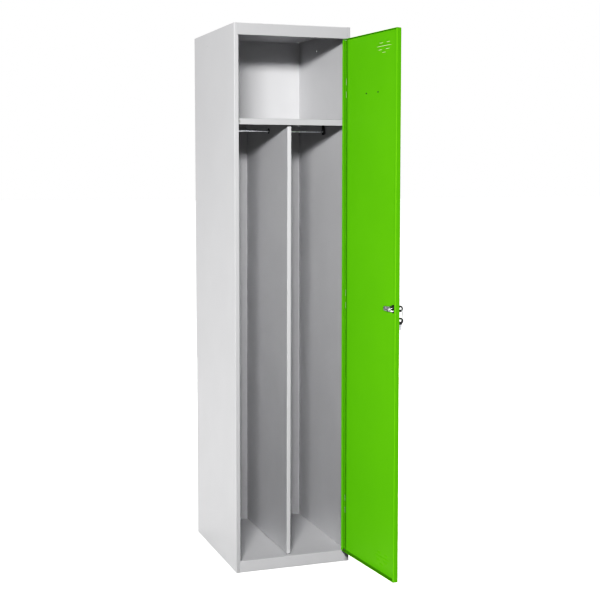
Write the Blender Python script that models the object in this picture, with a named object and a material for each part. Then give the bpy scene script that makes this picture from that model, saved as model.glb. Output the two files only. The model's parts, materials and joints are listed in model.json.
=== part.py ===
"""Sheet-steel clothes locker with one pan door, a hat shelf, a partition and a hanging rail.

+X is the locker's right, +Y its back, +Z up. The origin is on the floor, in the middle of the
sill's bottom flange. Every door piece is modelled closed and hangs from an empty on the hinge
axis, which holds the door open.
"""

import math

import bmesh
import bpy
from mathutils import Matrix, Vector

# Carcass
HEIGHT = 1.800
WIDTH = 0.400
DEPTH = 0.500
SHEET = 0.001
GAP = 0.0003
BEND = 0.0015
FRONT = -0.010
BACK = FRONT + DEPTH
HALF = WIDTH / 2
LOCK_UPRIGHT = 0.015
HINGE_UPRIGHT = 0.012
SEAM = 0.0105
UPRIGHT_RETURN = 0.019
REAR_RETURN = 0.014
RAIL_FACE = 0.038
HEADER_RETURN = 0.020
FLOOR_TOP = 0.030
SILL_FOLD = 0.003
SILL_BEND = 0.00099
REAR_FLANGE = 0.015
BACK_FLANGE = 0.009
NOTCH = 0.010
INSIDE = HALF - 0.0015
REAR = BACK - 0.0031
OVERCUT = 0.001
CREASE = math.radians(40)
JOINING_HOLE = (FRONT + 0.317, 1.752)
JOINING_RADIUS = 0.003

# Inside
SHELF_TOP = 1.4975
SHELF_SETBACK = 0.0203
SHELF_LIP = 0.0200
SHELF_HEM = 0.008
PARTITION_FACE = 0.0135
PARTITION_SETBACK = 0.042
PARTITION_RETURN = 0.012
PARTITION_REAR_FLANGE = 0.004
PARTITION_LIFT = 0.003
PARTITION_LEAN = 0.0055
RAIL_RADIUS = 0.004
RAIL_END = HALF - 0.0020
RAIL_CHAMFER = 0.0006
RAIL_Y = FRONT + 0.240
RAIL_Z = 1.466
GROMMET_NECK = 0.0065
GROMMET_RIM = 0.0090
BRACKET_WIDTH = 0.018
BRACKET_SHEET = 0.002
BRACKET_BEND = 0.002
BRACKET_FOOT = 0.026
BRACKET_X = HALF - 0.0055
BRACKET_TAIL = 0.011
RIVET_RADIUS = 0.002
RIVET_X = HALF - 0.017

# Door, closed
DOOR_DEPTH = 0.016
FLANGE_SHEET = 0.00096
DOOR_GAP = 0.002
HINGE_GAP = 0.003
HINGE_LIP = 0.013
LOCK_LIP = 0.007
DOOR_LEFT = -HALF + LOCK_UPRIGHT + DOOR_GAP
DOOR_RIGHT = HALF - HINGE_UPRIGHT - HINGE_GAP
DOOR_BOTTOM = RAIL_FACE + DOOR_GAP
DOOR_TOP = HEIGHT - RAIL_FACE - 0.0035
PIVOT_X = DOOR_RIGHT + HINGE_GAP / 2
PIVOT_Y = FRONT - 0.0005
REST_OPENING = math.radians(95)

# Hinges: name and middle height of each, then the barrel on the door's axis and the leaves in the gap
HINGES = (("lower", 0.200), ("middle", 0.900), ("upper", 1.600))
HINGE_HEIGHT = 0.060
KNUCKLE_RADIUS = 0.0032
KNUCKLE_END = HINGE_HEIGHT / 6
BARREL_CLEARANCE = KNUCKLE_RADIUS + GAP
PIN_RADIUS = 0.0016
PIN_HEAD = 0.0026
PIN_CHAMFER = 0.0008
PIN_OVERHANG = 0.0018
RUNNING_GAP = 0.0001
LEAF_SHEET = 0.0010
LEAF_OFFSET = 0.0002
NECK_INSET = 0.0005
LEAF_BACK = FRONT + 0.0140

BUFFER_RADIUS = 0.0045
BUFFER_STEM = 0.0020
BUFFER_X = DOOR_LEFT + 0.0045
BUFFER_Z = SHELF_TOP - SHELF_LIP / 2

# Vents: height of the row, then the middle and the length of each louvre from the lock edge
TOP_VENTS = ((1.7270, ((0.127, 0.026), (0.083, 0.024))),
             (1.7170, ((0.109, 0.100),)),
             (1.7065, ((0.134, 0.028), (0.086, 0.028))),
             (1.6970, ((0.110, 0.025),)))
BOTTOM_VENTS = ((0.1020, ((0.124, 0.026), (0.080, 0.024))),
                (0.0900, ((0.104, 0.100),)),
                (0.0780, ((0.131, 0.026), (0.084, 0.030))),
                (0.0665, ((0.108, 0.025),)))
LOUVRE_HEIGHT = 0.0065
LOUVRE_RISE = 0.0028
LOUVRE_END = 0.0010

# Label holder on the door's outer face
LABEL_X = (DOOR_LEFT + DOOR_RIGHT) / 2
LABEL_Z = 1.574
LABEL_WIDTH = 0.092
LABEL_HEIGHT = 0.042
LABEL_DEPTH = 0.0040
LABEL_RIM = 0.004
PEG_SPACING = 0.0780
PEG_RADIUS = 0.0020

# Lock, on an axis through the door
LOCK_X = DOOR_LEFT + 0.029
LOCK_Z = 0.900
BARREL_RADIUS = 0.0095
BARREL_END = 0.0190
HEAD_RADIUS = BARREL_RADIUS + 0.0025
GASKET_SHEET = 0.0009
NUT_RADIUS = 0.0130
NUT_HEIGHT = 0.0098
PLUG_RADIUS = 0.0062
SPIGOT = 0.0034
SCREW_RADIUS = 0.0015
SCREW_TIP = 0.0155
CAM_START = 0.0200
CAM_SHEET = 0.0020
CAM_REACH = 0.037
CAM_WIDTH = 0.017
HEAD_OUT = 0.0038
KEY_SHEET = 0.0020
BOW_RADIUS = 0.010
BOW_MIDDLE = 0.0172
BOW_HOLE = 0.0045
BLADE_HALF = 0.0040
BLADE_LENGTH = 0.0190
BITE_START = 0.0072
BITE_PITCH = 0.0028
BITE_HALF = 0.0009
EYE_OFFSET = 0.0015
RING_RADIUS = 0.015
WIRE_RADIUS = 0.0009
RING_Y = FRONT - BOW_MIDDLE - EYE_OFFSET
RING_TOP = LOCK_Z - BOW_HOLE + WIRE_RADIUS + GAP
RING_BOTTOM = RING_TOP - 2 * RING_RADIUS
SPARE_HOLE_Z = RING_BOTTOM - BOW_HOLE + WIRE_RADIUS + GAP


def material(name, colour, roughness, metallic=0.0):
    made = bpy.data.materials.new(name)
    made.use_nodes = True
    shader = made.node_tree.nodes["Principled BSDF"]
    shader.inputs["Base Color"].default_value = (*colour, 1.0)
    shader.inputs["Roughness"].default_value = roughness
    shader.inputs["Metallic"].default_value = metallic
    return made


def face_outwards(shape):
    bmesh.ops.recalc_face_normals(shape, faces=shape.faces)
    if shape.calc_volume(signed=True) < 0:
        bmesh.ops.reverse_faces(shape, faces=shape.faces)


def mesh_object(name, points, faces, finish=None, smooth_angle=None):
    """One closed mesh as a named object, with its faces turned outwards."""
    mesh = bpy.data.meshes.new(name)
    shape = bmesh.new()
    corners = [shape.verts.new(point) for point in points]
    for face in faces:
        shape.faces.new([corners[index] for index in face])
    face_outwards(shape)
    shape.to_mesh(mesh)
    shape.free()
    if finish:
        mesh.materials.append(finish)
    if smooth_angle:
        mesh.shade_smooth()
        mesh.set_sharp_from_angle(angle=smooth_angle)
    made = bpy.data.objects.new(name, mesh)
    bpy.context.scene.collection.objects.link(made)
    return made


def rounded_path(corners, radius, steps=4):
    """A polyline's points with each inner corner replaced by an arc, and the direction at each."""
    spots = [Vector(corner) for corner in corners]
    path = [(spots[0], (spots[1] - spots[0]).normalized())]
    for before, corner, after in zip(spots, spots[1:], spots[2:]):
        inward = (corner - before).normalized()
        outward = (after - corner).normalized()
        turn = inward.angle_signed(outward)
        middle_normal = Vector((-inward.y, inward.x)) * (-1 if turn > 0 else 1)
        cut = radius * math.tan(abs(turn) / 2)
        start = corner - inward * cut
        centre = start + middle_normal * radius
        for step in range(steps + 1):
            spin = Matrix.Rotation(-turn * step / steps, 2)
            path.append((centre + spin @ (start - centre), spin @ inward))
    path.append((spots[-1], (spots[-1] - spots[-2]).normalized()))
    return path


def folded_sheet(name, corners, start, stop, plane, finish=None, radius=BEND, sheet=SHEET):
    """A sheet bent along a section's middle line and run from start to stop across that section."""
    place = {"XY": lambda u, v, w: (u, v, w), "YZ": lambda u, v, w: (w, u, v)}[plane]
    path = rounded_path(corners, radius)
    points = []
    for end in (start, stop):
        for side in (-sheet / 2, sheet / 2):
            for spot, heading in path:
                points.append(place(spot.x - heading.y * side, spot.y + heading.x * side, end))
    count = len(path)
    low_left, low_right, high_left, high_right = (range(n * count, (n + 1) * count) for n in range(4))
    faces = []
    for i in range(count - 1):
        faces.append((low_left[i], low_left[i + 1], low_right[i + 1], low_right[i]))
        faces.append((high_left[i], high_left[i + 1], high_right[i + 1], high_right[i]))
        faces.append((low_left[i], low_left[i + 1], high_left[i + 1], high_left[i]))
        faces.append((low_right[i], low_right[i + 1], high_right[i + 1], high_right[i]))
    for i in (0, count - 1):
        faces.append((low_left[i], low_right[i], high_right[i], high_left[i]))
    return mesh_object(name, points, faces, finish, CREASE)


def box_data(low, high):
    points = [(x, y, z) for x in (low[0], high[0]) for y in (low[1], high[1]) for z in (low[2], high[2])]
    faces = [(0, 1, 3, 2), (4, 5, 7, 6), (0, 1, 5, 4), (2, 3, 7, 6), (0, 2, 6, 4), (1, 3, 7, 5)]
    return points, faces


def turned_data(profile, centre, axis, sides=24):
    """A closed profile of (radius, distance along the axis) turned about the axis."""
    turn = Vector((0, 0, 1)).rotation_difference(Vector(axis)).to_matrix()
    points = []
    rings = []
    for radius, along in profile:
        if radius == 0:
            rings.append([len(points)] * sides)
            points.append(Vector(centre) + turn @ Vector((0, 0, along)))
            continue
        rings.append(list(range(len(points), len(points) + sides)))
        for side in range(sides):
            angle = math.tau * side / sides
            spot = Vector((radius * math.cos(angle), radius * math.sin(angle), along))
            points.append(Vector(centre) + turn @ spot)
    faces = []
    closed = profile[0][0] > 0
    pairs = list(zip(rings, rings[1:] + rings[:1])) if closed else list(zip(rings, rings[1:]))
    for ring, following in pairs:
        for side in range(sides):
            after = (side + 1) % sides
            face = []
            for index in (ring[side], ring[after], following[after], following[side]):
                if index not in face:
                    face.append(index)
            if len(face) > 2:
                faces.append(face)
    return points, faces


def cylinder_data(centre, axis, radius, low, high, sides=24):
    return turned_data([(0, low), (radius, low), (radius, high), (0, high)], centre, axis, sides)


def plate_data(outline, low, high, place):
    """A flat outline (u, v) run from low to high along w."""
    count = len(outline)
    points = [place(u, v, w) for w in (low, high) for u, v in outline]
    faces = [list(range(count)), list(range(count, 2 * count))]
    for i in range(count):
        j = (i + 1) % count
        faces.append((i, j, count + j, count + i))
    return points, faces


def merged(parts):
    points = []
    faces = []
    for part_points, part_faces in parts:
        shift = len(points)
        points.extend(part_points)
        faces.extend([[index + shift for index in face] for face in part_faces])
    return points, faces


def tool(name, parts):
    """A hidden cutter or addition made of shapes that stay clear of each other."""
    made = mesh_object(name, *merged(parts))
    made.hide_render = True
    made.display_type = "WIRE"
    return made


def combine(target, operation, name, parts):
    """Joins shapes to an object or cuts them out of it, and returns the shapes' own object."""
    change = target.modifiers.new(name, "BOOLEAN")
    change.operation = operation
    change.solver = "EXACT"
    change.object = tool(name, parts)
    return change.object


def soften(target, width, segments=2):
    bevel = target.modifiers.new("edges", "BEVEL")
    bevel.width = width
    bevel.segments = segments
    bevel.limit_method = "ANGLE"
    bevel.angle_limit = CREASE


def arc(centre, radius, first, last, steps):
    turns = [first + (last - first) * step / steps for step in range(steps + 1)]
    return [(centre[0] + radius * math.cos(math.radians(turn)),
             centre[1] + radius * math.sin(math.radians(turn))) for turn in turns]


def side_panel(name, side, face, finish):
    """Side wall, front face with its return, and rear flange; side is -1 on the left, 1 on the right."""
    wall = side * (HALF - SHEET / 2)
    front = FRONT + SHEET / 2
    edge = side * (HALF - face + SHEET / 2)
    section = [(side * (HALF - REAR_RETURN), BACK - SHEET / 2), (wall, BACK - SHEET / 2), (wall, front),
               (edge, front), (edge, FRONT + UPRIGHT_RETURN)]
    panel = folded_sheet(name, section, 0, HEIGHT, "XY", finish)
    inner = side * (HALF - face - OVERCUT - SHEET)
    seam = side * (HALF - SEAM)
    cuts = []
    for low, high in ((-OVERCUT, RAIL_FACE + GAP), (HEIGHT - RAIL_FACE - GAP, HEIGHT + OVERCUT)):
        cuts.append(box_data((min(inner, seam), FRONT - OVERCUT, low),
                             (max(inner, seam), FRONT + UPRIGHT_RETURN + OVERCUT, high)))
    cuts.append(cylinder_data((wall, *JOINING_HOLE), (1, 0, 0), JOINING_RADIUS, -SHEET, SHEET, 16))
    combine(panel, "DIFFERENCE", name + "_cuts", cuts)
    return panel


def barrel_cuts():
    """Room around the hinge barrels, in the upright and in the door's edge."""
    reach = HINGE_HEIGHT / 2 + PIN_OVERHANG + GAP
    return [cylinder_data((PIVOT_X, PIVOT_Y, middle), (0, 0, 1), BARREL_CLEARANCE, -reach, reach)
            for _, middle in HINGES]


def end_boxes(inner, front, rear, low, high):
    """A box over each side end of a panel, from the distance inner outwards."""
    outer = HALF + OVERCUT
    spans = ((-outer, -inner), (inner, outer))
    return [box_data((near, front, low), (far, rear, high)) for near, far in spans]


def front_corner_cuts(low, high):
    """Room for the uprights' front faces at both ends of a header or a sill."""
    return end_boxes(HALF - SEAM - GAP, FRONT - OVERCUT, FRONT + 0.0055, low, high)


def flange_end_cuts(reach, low, high):
    """Shortens a front flange so that it stops short of the side walls."""
    return end_boxes(HALF - SEAM - GAP, FRONT + 0.0045, FRONT + reach + OVERCUT, low, high)


def rear_corner_cuts(low, high):
    """Relief notches around the back panel's flanges."""
    return end_boxes(INSIDE - NOTCH, REAR + SHEET / 2 - NOTCH, BACK + OVERCUT, low, high)


def top_panel(finish):
    header_bottom = HEIGHT - RAIL_FACE + SHEET / 2
    section = [(REAR, HEIGHT - REAR_FLANGE), (REAR, HEIGHT - SHEET / 2),
               (FRONT + SHEET / 2, HEIGHT - SHEET / 2), (FRONT + SHEET / 2, header_bottom),
               (FRONT + HEADER_RETURN, header_bottom)]
    panel = folded_sheet("top_panel", section, -INSIDE, INSIDE, "YZ", finish)
    cuts = front_corner_cuts(HEIGHT - RAIL_FACE - OVERCUT, HEIGHT + OVERCUT)
    cuts += rear_corner_cuts(HEIGHT - REAR_FLANGE - OVERCUT, HEIGHT + OVERCUT)
    combine(panel, "DIFFERENCE", "top_cuts", cuts)
    ends = flange_end_cuts(HEADER_RETURN, HEIGHT - RAIL_FACE - OVERCUT, HEIGHT - 5 * SHEET)
    combine(panel, "DIFFERENCE", "header_ends", ends)


def floor_panel(finish):
    upstand = FRONT + SILL_FOLD - SHEET / 2
    sill_top = RAIL_FACE - SHEET / 2
    floor = FLOOR_TOP - SHEET / 2
    section = [(-FRONT, SHEET / 2), (FRONT + SHEET / 2, SHEET / 2), (FRONT + SHEET / 2, sill_top),
               (upstand, sill_top), (upstand, floor), (REAR, floor), (REAR, REAR_FLANGE)]
    panel = folded_sheet("floor_panel", section, -INSIDE, INSIDE, "YZ", finish, radius=SILL_BEND)
    cuts = front_corner_cuts(-OVERCUT, RAIL_FACE + OVERCUT)
    cuts += rear_corner_cuts(REAR_FLANGE - OVERCUT, RAIL_FACE)
    combine(panel, "DIFFERENCE", "floor_cuts", cuts)
    combine(panel, "DIFFERENCE", "sill_ends", flange_end_cuts(-2 * FRONT, -OVERCUT, FLOOR_TOP - 5 * SHEET))


def back_panel(finish):
    across = INSIDE - SHEET / 2
    sheet = REAR + SHEET + GAP
    section = [(-across, sheet - BACK_FLANGE), (-across, sheet), (across, sheet),
               (across, sheet - BACK_FLANGE)]
    folded_sheet("back_panel", section, SHEET / 2, HEIGHT - SHEET / 2, "XY", finish)


def hat_shelf(finish):
    deck = SHELF_TOP - SHEET / 2
    front = FRONT + SHELF_SETBACK + SHEET / 2
    bottom = SHELF_TOP - SHELF_LIP + SHEET / 2
    section = [(REAR, SHELF_TOP - REAR_FLANGE), (REAR, deck), (front, deck), (front, bottom),
               (front + SHELF_HEM, bottom)]
    shelf = folded_sheet("hat_shelf", section, -INSIDE, INSIDE, "YZ", finish)
    cuts = rear_corner_cuts(SHELF_TOP - REAR_FLANGE - OVERCUT, SHELF_TOP + OVERCUT)
    for side in (-1, 1):
        cuts.append(cylinder_data((side * RIVET_X, RAIL_Y, deck), (0, 0, 1), RIVET_RADIUS + GAP,
                                  -SHEET, SHEET, 16))
    combine(shelf, "DIFFERENCE", "shelf_cuts", cuts)
    stem = cylinder_data((BUFFER_X, front, BUFFER_Z), (0, 1, 0), BUFFER_STEM + GAP, -SHEET, SHEET, 16)
    combine(shelf, "DIFFERENCE", "shelf_buffer_hole", [stem])


def lean(z):
    """How far the partition stands to the right at a height: it is a little out of plumb."""
    return PARTITION_LEAN * (z - HEIGHT / 2) / HEIGHT


def partition(finish):
    front = FRONT + PARTITION_SETBACK + SHEET / 2
    web = -PARTITION_FACE / 2 + SHEET / 2
    section = [(-web, front + PARTITION_RETURN), (-web, front), (web, front), (web, REAR),
               (-web + PARTITION_REAR_FLANGE, REAR)]
    top = SHELF_TOP - SHEET - GAP
    panel = folded_sheet("partition", section, FLOOR_TOP + PARTITION_LIFT, top, "XY", finish)
    for corner in panel.data.vertices:
        corner.co.x += lean(corner.co.z)
    behind_shelf = box_data((-2 * PARTITION_FACE, REAR - SHEET, SHELF_TOP - REAR_FLANGE - OVERCUT),
                            (2 * PARTITION_FACE, BACK, top + OVERCUT))
    hole = cylinder_data((web + lean(RAIL_Z), RAIL_Y, RAIL_Z), (1, 0, 0), GROMMET_NECK + GAP,
                         -2 * SHEET, 2 * SHEET)
    combine(panel, "DIFFERENCE", "partition_cuts", [behind_shelf, hole])


def hanging_fittings(steel, dark):
    centre = (0, RAIL_Y, RAIL_Z)
    tip = RAIL_RADIUS - RAIL_CHAMFER
    shoulder = RAIL_END - RAIL_CHAMFER
    rail = [(0, -RAIL_END), (tip, -RAIL_END), (RAIL_RADIUS, -shoulder), (RAIL_RADIUS, shoulder),
            (tip, RAIL_END), (0, RAIL_END)]
    mesh_object("hanging_rail", *turned_data(rail, centre, (1, 0, 0)), steel, CREASE)
    web = -PARTITION_FACE / 2 + SHEET / 2
    collar = SHEET / 2 + GAP
    bore = RAIL_RADIUS + GAP
    ring = [(bore, -0.0028), (GROMMET_RIM - 0.0005, -0.0024), (GROMMET_RIM, -collar),
            (GROMMET_NECK, -collar), (GROMMET_NECK, collar), (GROMMET_RIM, collar),
            (GROMMET_RIM - 0.0005, 0.0024), (bore, 0.0028)]
    mesh_object("partition_grommet", *turned_data(ring, (web + lean(RAIL_Z), RAIL_Y, RAIL_Z), (1, 0, 0)),
                dark, CREASE)
    under_shelf = SHELF_TOP - SHEET - GAP - BRACKET_SHEET / 2
    for word, side in (("left", -1), ("right", 1)):
        section = [(side * BRACKET_X, RAIL_Z - BRACKET_TAIL), (side * BRACKET_X, under_shelf),
                   (side * (BRACKET_X - BRACKET_FOOT), under_shelf)]
        bracket = bracket_sheet("rail_bracket_" + word, section, dark)
        rail_hole = cylinder_data((side * BRACKET_X, RAIL_Y, RAIL_Z), (1, 0, 0), bore,
                                  -BRACKET_SHEET, BRACKET_SHEET)
        rivet_hole = cylinder_data((side * RIVET_X, RAIL_Y, under_shelf), (0, 0, 1), RIVET_RADIUS + GAP,
                                   -BRACKET_SHEET, BRACKET_SHEET, 16)
        combine(bracket, "DIFFERENCE", "bracket_holes_" + word, [rail_hole, rivet_hole])
        low = under_shelf - BRACKET_SHEET / 2 - GAP
        high = SHELF_TOP + GAP
        rivet = [(0, low - 0.0012), (0.0030, low - 0.0010), (0.0034, low), (RIVET_RADIUS, low),
                 (RIVET_RADIUS, high), (0.0040, high), (0.0032, high + 0.0009), (0, high + 0.0012)]
        mesh_object("rail_rivet_" + word, *turned_data(rivet, (side * RIVET_X, RAIL_Y, 0), (0, 0, 1), 16),
                    steel, CREASE)


def bracket_sheet(name, section, finish):
    """A strip bent in the XZ plane and BRACKET_WIDTH wide along Y, with softened edges."""
    flat = folded_sheet(name, section, -BRACKET_WIDTH / 2, BRACKET_WIDTH / 2, "XY", finish,
                        radius=BRACKET_BEND, sheet=BRACKET_SHEET)
    flat.data.transform(Matrix(((1, 0, 0, 0), (0, 0, 1, RAIL_Y), (0, 1, 0, 0), (0, 0, 0, 1))))
    shape = bmesh.new()
    shape.from_mesh(flat.data)
    face_outwards(shape)
    shape.to_mesh(flat.data)
    shape.free()
    return flat


def door_buffer(rubber):
    """A rubber buffer pressed into the shelf's lip, where the door's lock-side lip lands."""
    face = DOOR_DEPTH + 0.0005 - SHELF_SETBACK
    back = SHEET + GAP
    profile = [(0, face), (BUFFER_RADIUS - 0.0015, face), (BUFFER_RADIUS - 0.0003, face + 0.0010),
               (BUFFER_RADIUS, -GAP), (BUFFER_STEM, -GAP), (BUFFER_STEM, back),
               (BUFFER_STEM + 0.0010, back), (BUFFER_STEM, back + 0.0030), (0, back + 0.0035)]
    centre = (BUFFER_X, FRONT + SHELF_SETBACK, BUFFER_Z)
    mesh_object("door_buffer", *turned_data(profile, centre, (0, 1, 0)), rubber, CREASE)


def leaf(name, side, necks, middle, finish):
    """A hinge leaf in the gap beside the door: side is -1 on the door, 1 on the upright.

    necks are the heights, from the hinge's middle, of the knuckles that the leaf carries.
    """
    near = PIVOT_X + side * LEAF_OFFSET
    low_x, high_x = sorted((near, near + side * LEAF_SHEET))
    half = HINGE_HEIGHT / 2
    inner = PIVOT_Y + KNUCKLE_RADIUS + 2 * GAP
    root = PIVOT_Y + 0.7 * KNUCKLE_RADIUS
    outline = [(LEAF_BACK, -half), (LEAF_BACK, half), (inner, half)]
    for low, high in reversed(necks):
        outline += [(inner, high - NECK_INSET), (root, high - NECK_INSET), (root, low + NECK_INSET),
                    (inner, low + NECK_INSET)]
    outline.append((inner, -half))

    def place(y, z, x):
        return (x, y, middle + z)

    made = mesh_object(name, *plate_data(outline, low_x, high_x, place), finish)
    knuckles = []
    bore = PIN_RADIUS + RUNNING_GAP
    for low, high in necks:
        ring = [(bore, low), (KNUCKLE_RADIUS, low), (KNUCKLE_RADIUS, high), (bore, high)]
        knuckles.append(turned_data(ring, (PIVOT_X, PIVOT_Y, middle), (0, 0, 1)))
    return made, combine(made, "UNION", name + "_knuckles", knuckles)


def hinges(steel, frame_finish, door_finish, pivot):
    """Three barrel hinges in notches at the door's corner, each with two leaves and a headed pin."""
    half = HINGE_HEIGHT / 2
    inside = half - 2 * KNUCKLE_END
    pin = PIN_RADIUS
    tip = half + PIN_OVERHANG
    head = half + GAP
    for word, middle in HINGES:
        leaf(word + "_frame_leaf", 1, ((-half, -inside - GAP), (inside + GAP, half)), middle, frame_finish)
        for piece in leaf(word + "_door_leaf", -1, ((-inside, inside),), middle, door_finish):
            hang(piece, pivot)
        profile = [(0, -tip), (PIN_HEAD - PIN_CHAMFER, -tip), (PIN_HEAD, PIN_CHAMFER - tip),
                   (PIN_HEAD, -head), (pin, -head), (pin, head), (PIN_HEAD, head),
                   (PIN_HEAD, tip - PIN_CHAMFER), (PIN_HEAD - PIN_CHAMFER, tip), (0, tip)]
        mesh_object(word + "_hinge_pin", *turned_data(profile, (PIVOT_X, PIVOT_Y, middle), (0, 0, 1)),
                    steel, CREASE)


def louvre_data(middle, length, bottom):
    """A pressed hood: flush with the door at its top and ends, open along its lower lip."""
    across = 10
    down = 4
    inside = FRONT + 0.8 * SHEET
    outside = FRONT + 0.2 * SHEET
    points = []
    for base in (inside, outside):
        for i in range(across + 1):
            share = i / across
            x = middle + length * (share - 0.5)
            ramp = min(1.0, 5 * min(share, 1 - share))
            ends = math.sin(math.pi / 2 * ramp)
            for j in range(down + 1):
                fall = j / down
                rise = LOUVRE_RISE * math.sin(math.pi / 2 * fall) * ends
                points.append((x, base + rise, bottom + LOUVRE_HEIGHT * (1 - fall)))
    layer = (across + 1) * (down + 1)
    faces = []

    def at(side, i, j):
        return side * layer + i * (down + 1) + j

    for i in range(across):
        for j in range(down):
            for side in (0, 1):
                faces.append((at(side, i, j), at(side, i + 1, j),
                              at(side, i + 1, j + 1), at(side, i, j + 1)))
        for j in (0, down):
            faces.append((at(0, i, j), at(0, i + 1, j), at(1, i + 1, j), at(1, i, j)))
    for j in range(down):
        for i in (0, across):
            faces.append((at(0, i, j), at(0, i, j + 1), at(1, i, j + 1), at(1, i, j)))
    return points, faces


def door_panel(finish, pivot):
    """A pan with flanges on all four edges and inner lips on both upright edges."""
    face = FRONT + SHEET / 2
    lip = FRONT + DOOR_DEPTH - SHEET / 2
    left = DOOR_LEFT + SHEET / 2
    right = DOOR_RIGHT - SHEET / 2
    section = [(DOOR_LEFT + LOCK_LIP, lip), (left, lip), (left, face), (right, face), (right, lip),
               (DOOR_RIGHT - HINGE_LIP, lip)]
    clear = BEND + SHEET
    panel = folded_sheet("door_panel", section, DOOR_BOTTOM + clear, DOOR_TOP - clear, "XY", finish)
    flanges = []
    for edge, inward in ((DOOR_BOTTOM, 1), (DOOR_TOP, -1)):
        bend = [(face, edge + inward * 0.010), (face, edge + inward * SHEET / 2),
                (FRONT + DOOR_DEPTH, edge + inward * SHEET / 2)]
        strip = folded_sheet("flange", bend, DOOR_LEFT + clear, DOOR_RIGHT - clear, "YZ",
                             sheet=FLANGE_SHEET)
        flanges.append(([tuple(v.co) for v in strip.data.vertices],
                        [tuple(p.vertices) for p in strip.data.polygons]))
        bpy.data.objects.remove(strip)
    extras = [combine(panel, "UNION", "door_flanges", flanges)]
    slots = []
    hoods = []
    for height, row in TOP_VENTS + BOTTOM_VENTS:
        for middle, length in row:
            x = DOOR_LEFT + middle
            half = length / 2 - LOUVRE_END
            slots.append(box_data((x - half, FRONT - SHEET, height - LOUVRE_HEIGHT / 2),
                                  (x + half, FRONT + 2 * SHEET, height + LOUVRE_HEIGHT / 4)))
            hoods.append(louvre_data(x, length, height - LOUVRE_HEIGHT / 2 + 0.0004))
    extras.append(combine(panel, "DIFFERENCE", "vent_slots", slots))
    extras.append(combine(panel, "UNION", "vent_hoods", hoods))
    holes = [cylinder_data((LOCK_X, face, LOCK_Z), (0, 1, 0), BARREL_RADIUS + GAP, -SHEET, SHEET, 32)]
    for side in (-1, 1):
        holes.append(cylinder_data((LABEL_X + side * PEG_SPACING / 2, face, LABEL_Z), (0, 1, 0),
                                   PEG_RADIUS + GAP, -SHEET, SHEET, 16))
    extras.append(combine(panel, "DIFFERENCE", "door_holes", holes))
    extras.append(combine(panel, "DIFFERENCE", "hinge_notches", barrel_cuts()))
    hang(panel, pivot)
    for extra in extras:
        hang(extra, pivot)


def hang(piece, pivot):
    """Puts a piece modelled in the closed position on the door's hinge axis."""
    piece.parent = pivot
    piece.matrix_parent_inverse = Matrix.Translation((-PIVOT_X, -PIVOT_Y, 0))


def label_holder(plastic, paper, clear, pivot):
    """A frame on two pegs, a card in it and a clear window over the card."""
    back = FRONT - GAP
    front = back - LABEL_DEPTH
    half_w = LABEL_WIDTH / 2
    half_h = LABEL_HEIGHT / 2
    frame = mesh_object("label_frame", *box_data((LABEL_X - half_w, front, LABEL_Z - half_h),
                                                  (LABEL_X + half_w, back, LABEL_Z + half_h)), plastic)
    soften(frame, 0.0009)
    wide = half_w - LABEL_RIM
    low = LABEL_Z - half_h + LABEL_RIM
    pocket = box_data((LABEL_X - wide, front + 0.0008, low),
                      (LABEL_X + wide, back - 0.0010, LABEL_Z + half_h + OVERCUT))
    sight = box_data((LABEL_X - wide + 0.002, front - OVERCUT, low + 0.002),
                     (LABEL_X + wide - 0.002, front + 0.0010, LABEL_Z + half_h - 0.005))
    extras = [combine(frame, "DIFFERENCE", "label_pocket", [pocket]),
              combine(frame, "DIFFERENCE", "label_sight", [sight])]
    pegs = []
    tip = SHEET + 0.0030
    for side in (-1, 1):
        profile = [(0, -0.0008), (PEG_RADIUS, -0.0008), (PEG_RADIUS, SHEET + 0.0002),
                   (PEG_RADIUS + 0.0002, SHEET + 0.0012), (PEG_RADIUS - 0.0008, tip), (0, tip)]
        pegs.append(turned_data(profile, (LABEL_X + side * PEG_SPACING / 2, FRONT, LABEL_Z), (0, 1, 0), 16))
    extras.append(combine(frame, "UNION", "label_pegs", pegs))
    inset = wide - GAP
    high = LABEL_Z + half_h - 0.001
    card = mesh_object("label_card", *box_data((LABEL_X - inset, back - 0.0018, low + GAP),
                                                (LABEL_X + inset, back - 0.0013, high)), paper)
    window = mesh_object("label_window", *box_data((LABEL_X - inset, back - 0.0029, low + GAP),
                                                    (LABEL_X + inset, back - 0.0021, high)), clear)
    for piece in (frame, card, window, *extras):
        hang(piece, pivot)


def lock_plate(u, v, w):
    """Outline across the lock's axis to world: u right, v up, w inwards from the door's face."""
    return (LOCK_X + u, FRONT + w, LOCK_Z + v)


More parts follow.
